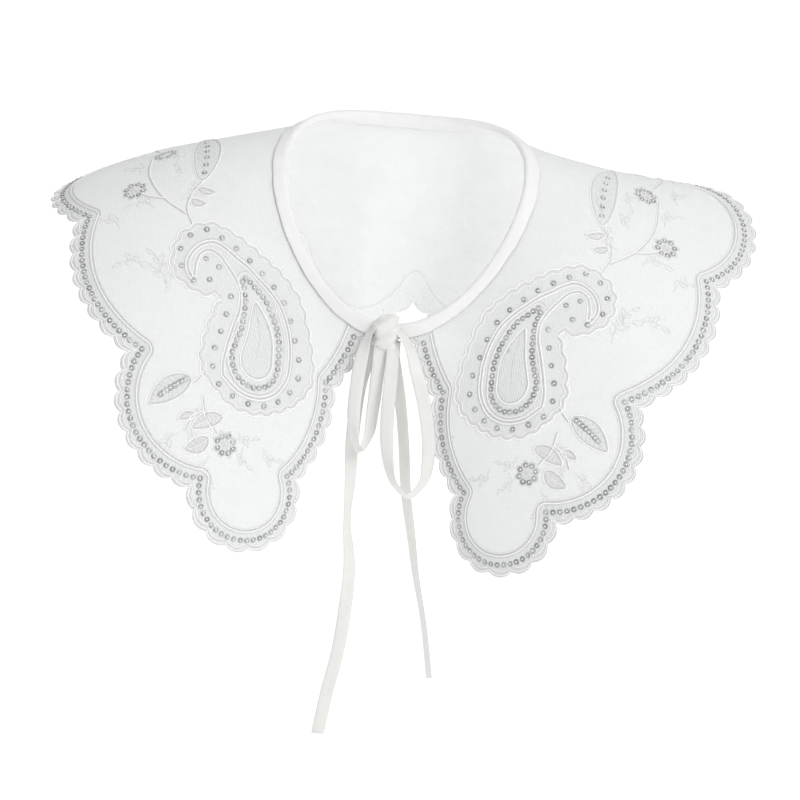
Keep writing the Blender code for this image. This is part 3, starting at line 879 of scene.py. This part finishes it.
def sequins(tree, finish, thread):
    points = sequin_rows()
    chance = np.random.default_rng(SEED)
    spots, facing, ahead = [], [], []
    for side in (1, -1):
        places, normals = laid(points, side, SEQUIN_LIFT)
        tilt = chance.normal(0, SEQUIN_TILT, normals.shape)
        spots.append(places)
        facing.append(unit(normals + tilt))
        ahead.append(unit(chance.normal(0, 1, normals.shape)))
    spots, facing, ahead = (np.concatenate(part) for part in (spots, facing, ahead))
    size = chance.uniform(*SEQUIN_SIZES, len(spots))
    shape = turned_shape("sequin_shape", SEQUIN_RINGS, 10)
    bead = turned_shape("bead_shape", BEAD_RINGS, 8)
    made = [
        sewn(tree, "sequins", shape, spots, facing, ahead, size, finish),
        sewn(tree, "sequin_stitches", bead, spots, facing, ahead, size, thread),
    ]
    for helper in (shape, bead):
        bpy.data.objects.remove(helper, do_unlink=True)
    return made


# Binding, knot and ties
BINDING_SECTIONS = 220
SEAM_WAVE, SEAM_RIPPLE = 0.12, 0.08
BINDING_PROFILE = (
    (7.0, 0.35), (7.0, 0.75), (6.2, 1.05), (4.6, 1.4), (2.6, 1.85), (0.8, 2.15), (-0.4, 1.9),
    (-1.15, 0.9), (-1.25, -0.5), (-0.6, -1.5), (0.8, -1.9), (3.5, -1.85), (6.2, -1.95), (7.0, -1.8),
    (7.0, -1.5), (3.5, -1.5), (0.2, -1.45), (-0.3, -0.6), (0.2, 0.2), (3.5, 0.3),
)


def binding():
    """The tape folded over the neck edge, with the small unevenness of sewing round a curve."""
    mesh = bmesh.new()
    uv = mesh.loops.layers.uv.new("tape")
    phis = np.linspace(BINDING_END, 2 * pi - BINDING_END, BINDING_SECTIONS)
    rings = []
    for reach, lift in BINDING_PROFILE:
        wave = SEAM_WAVE * np.sin(23 * phis + reach) + SEAM_RIPPLE * np.sin(41 * phis + 2 * lift)
        rings.append(form(phis, (reach + wave) * MM, (lift + 0.6 * wave * (lift > 0)) * MM)[0])
    rings = np.stack(rings, axis=1)
    made = [[mesh.verts.new(spot) for spot in ring] for ring in rings]
    skin(mesh, made, uv)
    return placed("neck_tape", mesh)


def skin(mesh, rings, uv):
    """Faces between neighbouring rings and over both ends, with a UV along and round, in metres."""
    count = len(rings[0])
    steps = [(b[0].co - a[0].co).length for a, b in zip(rings, rings[1:])]
    along = np.concatenate([[0], np.cumsum(steps)])
    girth = [0.0]
    for k in range(count):
        girth.append(girth[-1] + (rings[0][(k + 1) % count].co - rings[0][k].co).length)
    for i, (a, b) in enumerate(zip(rings, rings[1:])):
        for k in range(count):
            n = (k + 1) % count
            face = mesh.faces.new((a[k], a[n], b[n], b[k]))
            for loop, spot in zip(face.loops, ((i, k), (i, k + 1), (i + 1, k + 1), (i + 1, k))):
                loop[uv].uv = (along[spot[0]], girth[spot[1]])
    mesh.faces.new(rings[0][::-1])
    mesh.faces.new(rings[-1])
    bmesh.ops.recalc_face_normals(mesh, faces=mesh.faces)


# Section of a tie, with soft edges: shares of half its width and of half its thickness
RIBBON_SECTION = (
    (-1, 0), (-0.86, 1), (-0.45, 1.25), (0, 1.1), (0.45, 1.25), (0.86, 1), (1, 0), (0.86, -1),
    (0.45, -1.25), (0, -1.1), (-0.45, -1.25), (-0.86, -1),
)
CURL_DEPTH, CURL_LENGTH = 0.35 * MM, 10 * MM


def ribbon(name):
    """A tie and its middle line."""
    values = curve_through(TIES[name], RIBBON_STEP, 3)
    line, turn = values[:, :3], np.radians(values[:, 3] / MM)
    ahead = unit(np.gradient(line, axis=0))
    low = smooth(-line[:, 2], LOOP_TILT_FROM, LOOP_TILT_FULL) if "loop" in name else 0.0
    tilt = LOOP_TILT * np.sin(turn) ** 2 * low
    width = stacked(np.cos(turn) * np.cos(tilt), np.sin(turn) * np.cos(tilt), np.sin(tilt))
    width = unit(width - ahead * np.sum(width * ahead, axis=1)[:, None])
    thick = np.cross(ahead, width)
    mesh = bmesh.new()
    uv = mesh.loops.layers.uv.new("tape")
    rings = []
    for k, point in enumerate(line):
        curl = CURL_DEPTH * sin(k * RIBBON_STEP / CURL_LENGTH)
        slant = TAIL_SLANTS.get(name, 0.0) if k + 1 == len(line) else 0.0
        ring = []
        for a, b in RIBBON_SECTION:
            out = b * RIBBON_THICK / 2 + curl * (a * a - 0.5)
            spot = point + width[k] * (a * TAPE_WIDTH / 2) + thick[k] * out
            ring.append(mesh.verts.new(spot - ahead[k] * a * slant))
        rings.append(ring)
    skin(mesh, rings, uv)
    return placed(name + "_ribbon", mesh), line


KNOT_SQUARENESS = 0.72
KNOT_WAIST = 0.14
# Creases of the knot: depth as a share of its size, how close they lie and how they lean
KNOT_CREASES = ((0.1, 7.5, 0), (0.06, 13, 2))


def knot():
    """The tied knot: a band of tape drawn over the gathered tapes, in one closed form."""
    mesh = bmesh.new()
    bmesh.ops.create_uvsphere(mesh, u_segments=48, v_segments=28, radius=1)
    for vert in mesh.verts:
        x, y, z = vert.co
        x, y, z = (np.sign(v) * abs(v) ** KNOT_SQUARENESS for v in (x, y, z))
        lean = x * 0.35 - z
        crease = sum(deep * sin(close * lean + skew * x) for deep, close, skew in KNOT_CREASES)
        pinch = 1 - KNOT_WAIST * (1 - z * z) * (abs(x) > 0.2)
        vert.co = Vector((
            KNOT_CENTRE.x + KNOT_HALF.x * x * (1 + crease) * pinch,
            KNOT_CENTRE.y + KNOT_HALF.y * y * (1 + crease),
            KNOT_CENTRE.z + KNOT_HALF.z * z * (1 + 0.5 * crease),
        ))
    bmesh.ops.recalc_face_normals(mesh, faces=mesh.faces)
    return placed("knot_tape", mesh)


# Materials
class Shade:
    """A number in a material, on which Python's operators add Math nodes."""

    def __init__(self, paint, socket):
        self.paint, self.socket = paint, socket

    def maths(self, operation, *others):
        return self.paint.add("ShaderNodeMath", "Value", {"operation": operation}, self, *others)

    def __add__(self, other):
        return self.maths("ADD", other)

    def __sub__(self, other):
        return self.maths("SUBTRACT", other)

    def __rsub__(self, other):
        return Shade.maths(self * -1.0, "ADD", other)

    def __mul__(self, other):
        return self.maths("MULTIPLY", other)

    __radd__, __rmul__ = __add__, __mul__

    def sine(self):
        return self.maths("SINE")

    def wave(self):
        return self.sine() * 0.5 + 0.5

    def size(self):
        return self.maths("ABSOLUTE")

    def over(self, other):
        return self.maths("MAXIMUM", other)

    def between(self, low, high):
        """0 at low, 1 at high and smooth between."""
        settings = {"interpolation_type": "SMOOTHSTEP"}
        return self.paint.add("ShaderNodeMapRange", "Result", settings, self, low, high)


class Paint:
    """A material with a Principled shader."""

    def __init__(self, name, colour, **fixed):
        self.material = bpy.data.materials.new(name)
        self.material.use_nodes = True
        self.tree = self.material.node_tree
        self.shader = self.tree.nodes["Principled BSDF"]
        self.shader.inputs["Base Color"].default_value = (*colour, 1)
        for socket, value in fixed.items():
            self.shader.inputs[socket.replace("_", " ")].default_value = value

    def add(self, kind, output, settings=None, *values, **named):
        """One output of a new node."""
        given = {**dict(enumerate(values)), **named}
        inputs = {name: getattr(value, "socket", value) for name, value in given.items()}
        return Shade(self, new_node(self.tree, kind, settings, inputs).outputs[output])

    def spot(self, kind="Object"):
        return self.add("ShaderNodeTexCoord", kind)

    def axes(self, vector):
        made = self.add("ShaderNodeSeparateXYZ", "X", None, vector)
        return [Shade(self, made.socket.node.outputs[axis]) for axis in "XYZ"]

    def noise(self, scale, detail=2.0):
        return self.add("ShaderNodeTexNoise", "Fac", Vector=self.spot(), Scale=scale, Detail=detail)

    def attribute(self, name):
        return self.add("ShaderNodeAttribute", "Fac", {"attribute_name": name})

    def feed(self, socket, value):
        self.tree.links.new(value.socket, self.shader.inputs[socket])

    def colour(self, share, low, high):
        """The surface's colour, between two."""
        made = self.add("ShaderNodeMix", 2, {"data_type": "RGBA"}, Factor=share)
        for number, colour in ((6, low), (7, high)):
            made.socket.node.inputs[number].default_value = (*colour, 1)
        self.feed("Base Color", made)

    def bump(self, height, strength, distance):
        self.feed("Normal", self.add(
            "ShaderNodeBump", "Normal", None, Strength=strength, Distance=distance, Height=height,
        ))


NET_MESH = 0.95 * MM
STITCH_PITCH = 1.5 * MM
THREAD_TWIST = 0.62 * MM
TAPE_RIB, TAPE_SLUB = 0.42 * MM, 0.3 * MM
# Tapes: colour and roughness. The knot's tape is painted darker than the binding's, as shade among its
# wraps
TAPES = {
    "satin_tie": ((0.72, 0.725, 0.7), 0.42),
    "bias_tape": ((0.79, 0.79, 0.785), 0.55),
    "knotted_tape_painted_shade": ((0.73, 0.735, 0.71), 0.42),
}


def net_finish(name, light, stitch_shade_share):
    """Fine net in the flat cut, closed up where it is worked with thread and painted darker there as
    shade among the stitches, less so on its reverse.
    """
    paint = Paint(name, (light, light, light), Roughness=0.8, Sheen_Weight=0.1, IOR=1.4)
    x, y, _ = paint.axes(paint.spot("UV"))
    weave = (x * (pi / NET_MESH)).sine().size().over((y * (pi / NET_MESH)).sine().size())
    thread = weave.between(0.7, 0.98)
    worked = paint.attribute("worked")
    drift = paint.noise(60.0, 3.0)
    fine = paint.noise(900.0, 3.0)
    stitches = ((x + y * 0.35) * (2 * pi / STITCH_PITCH) + fine * 9.0).wave()
    # Painted shade: where the net is worked its colour is darkened, standing in for the shade among
    # dense stitches.
    stitch_shade = worked * stitch_shade_share * (0.15 + stitches * 0.45)
    tone = stitch_shade + fine * 0.14 + thread * 0.1 + (1.0 - drift) * 0.15
    alpha = 0.6 + thread * 0.12 + worked * 0.38 + drift * 0.12
    paint.feed("Alpha", alpha.maths("MINIMUM", 1.0))
    paint.colour(tone, (light, light + 0.01, light + 0.01), (0.6, 0.61, 0.61))
    paint.bump(thread * 0.25 + stitches * worked + fine * 0.5, 0.6, 0.25 * MM)
    return paint.material


def thread_finish():
    """Twisted embroidery thread, laid in close stitches along each cord, and painted darker where a cord
    carries painted shade.
    """
    paint = Paint("embroidery_thread", (0.93, 0.93, 0.925), Roughness=0.48, Sheen_Weight=0.2)
    along, painted_shade = paint.attribute("along"), paint.attribute("painted_shade")
    fine = paint.noise(900.0, 2.0)
    stitch = (along * (2 * pi / THREAD_TWIST) + fine * 2.0).wave()
    # Painted shade: a cord's share of it darkens the thread towards the dark colour.
    light = 0.75 + stitch * 0.15 + fine * 0.15 - painted_shade * 0.62
    paint.colour(light, (0.42, 0.43, 0.43), (0.97, 0.97, 0.965))
    paint.bump(stitch + fine * 0.4, 0.7, 0.15 * MM)
    return paint.material


def sequin_finish():
    """Clear silver sequins, darker where the cup turns away."""
    paint = Paint("silver_sequin", (0.42, 0.43, 0.43), Metallic=0.85, Roughness=0.28, Coat_Weight=0.4)
    cloud = paint.noise(260.0, 2.0)
    paint.colour(cloud.between(0.35, 0.65), (0.33, 0.335, 0.34), (0.58, 0.585, 0.59))
    paint.feed("Roughness", 0.34 + cloud * 0.2)
    return paint.material


def tape_finish(name):
    """Narrow satin tape: fine ribs across, slubs along and softly rubbed folds."""
    colour, roughness = TAPES[name]
    paint = Paint(name, colour, Roughness=roughness, Sheen_Weight=0.1, Coat_Weight=0.05)
    u, v, _ = paint.axes(paint.spot("UV"))
    rib = (u * (2 * pi / TAPE_RIB)).wave()
    slub = (v * (2 * pi / TAPE_SLUB) + paint.noise(120.0) * 5.0).wave()
    cloud = paint.noise(160.0, 3.0)
    light = tuple(min(1.0, c * 1.04) for c in colour)
    paint.colour(cloud, tuple(c * 0.965 for c in colour), light)
    paint.feed("Roughness", roughness - 0.08 + cloud * 0.16)
    paint.bump(rib * 0.5 + slub * 0.3 + cloud * 0.8, 0.4, 0.12 * MM)
    return paint.material


def floor_finish():
    paint = Paint("white_paper", (0.93, 0.93, 0.93), Roughness=0.9)
    paint.shader.inputs["Emission Color"].default_value = (1, 1, 1, 1)
    paint.shader.inputs["Emission Strength"].default_value = 0.45
    paint.colour(paint.noise(3.0), (0.925, 0.925, 0.925), (0.94, 0.94, 0.94))
    return paint.material


# Camera, light and floor
CAMERA_DISTANCE = 1.4
CAMERA_LENS, CAMERA_SENSOR = 120, 36
CAMERA_TURNS = (radians(22), radians(-3), radians(4))
CAMERA_ASIDE = (0.0023, 0.107)
WORLD_LIGHT = 0.52
# Lamps: place, target, size and power
LAMPS = {
    "key": ((1.0, -1.1, 1.3), (0, 0, -0.05), 0.9, 20),
    "fill": ((-1.3, -0.7, 1.0), (0, 0, -0.05), 1.4, 3.2),
    "top": ((0.4, 0.8, 1.6), (0, 0, 0), 1.2, 5),
}
FLOOR_HEIGHT = -0.42
FLOOR_SIZE = 40


def camera():
    """Looks down on the front from a little to one side, rolled as the photograph is."""
    tilt, turn, roll = CAMERA_TURNS
    ahead = Vector((sin(turn) * cos(tilt), cos(turn) * cos(tilt), -sin(tilt)))
    level = Vector((cos(turn), -sin(turn), 0))
    rise = level.cross(ahead)
    right = level * cos(roll) + rise * sin(roll)
    up = rise * cos(roll) - level * sin(roll)
    data = bpy.data.cameras.new("camera")
    data.lens, data.sensor_width = CAMERA_LENS, CAMERA_SENSOR
    made = linked("camera", data)
    spot = -CAMERA_DISTANCE * ahead - CAMERA_ASIDE[0] * right - CAMERA_ASIDE[1] * up
    for column, axis in enumerate((right, up, -ahead)):
        for row in range(3):
            made.matrix_world[row][column] = axis[row]
    made.matrix_world.translation = spot
    bpy.context.scene.camera = made


def lamp(name, place, target, size, power):
    data = bpy.data.lights.new(name, "AREA")
    data.size, data.energy = size, power
    made = linked(name, data)
    made.location = place
    made.rotation_euler = (Vector(target) - Vector(place)).to_track_quat("-Z", "Y").to_euler()


def studio():
    world = bpy.data.worlds.new("studio")
    world.use_nodes = True
    sky = world.node_tree.nodes["Background"].inputs
    sky["Color"].default_value = (1, 1, 1, 1)
    sky["Strength"].default_value = WORLD_LIGHT
    bpy.context.scene.world = world
    bpy.context.scene.view_settings.view_transform = "Standard"
    for name, settings in LAMPS.items():
        lamp(name, *settings)
    mesh = bmesh.new()
    bmesh.ops.create_grid(mesh, x_segments=1, y_segments=1, size=FLOOR_SIZE)
    bmesh.ops.translate(mesh, vec=(0, 0, FLOOR_HEIGHT), verts=mesh.verts)
    ground = placed("floor", mesh)
    ground.data.materials.append(floor_finish())


def painted(piece, finish):
    piece.data.materials.clear()
    piece.data.materials.append(finish)
    return piece


def main():
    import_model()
    camera()
    ribbons = {name: ribbon(name) for name in TIES}
    tie_finish = tape_finish("satin_tie")
    for name, (piece, line) in ribbons.items():
        painted(piece, tie_finish)
        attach(piece, "root")
        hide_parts(name)
        "object" if "loop" in name else "bare"
    studio()
    cloth = painted(net_cloth(), net_finish("embroidered_net", 0.85, 1.0))
    # The reverse is painted lighter than the front and with less stitch shade: painted light on the
    # inside of the collar, seen through the neck.
    cloth.data.materials.append(net_finish("net_reverse_painted_light", 0.98, 0.4))
    tape = painted(binding(), tape_finish("bias_tape"))
    tied = painted(knot(), tape_finish("knotted_tape_painted_shade"))
    thread = thread_finish()
    line_tree, piece_tree = cord_tree(), sewn_tree()
    worked = [
        cords(line_tree, "border_cords", border_lines(), thread),
        cords(line_tree, "paisley_cords", paisley_lines(), thread),
        cords(line_tree, "sprig_cords", sprig_lines(), thread, 5),
        *sequins(piece_tree, sequin_finish(), thread),
    ]
    for piece, node, slot in (
        (cloth, "collar_net", "net"), (tape, "neck_binding", "tape"), (tied, "tie_knot", "tape"),
    ):
        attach(piece, "root")
        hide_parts(node)
    for piece in worked:
        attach(piece, "root")


main()
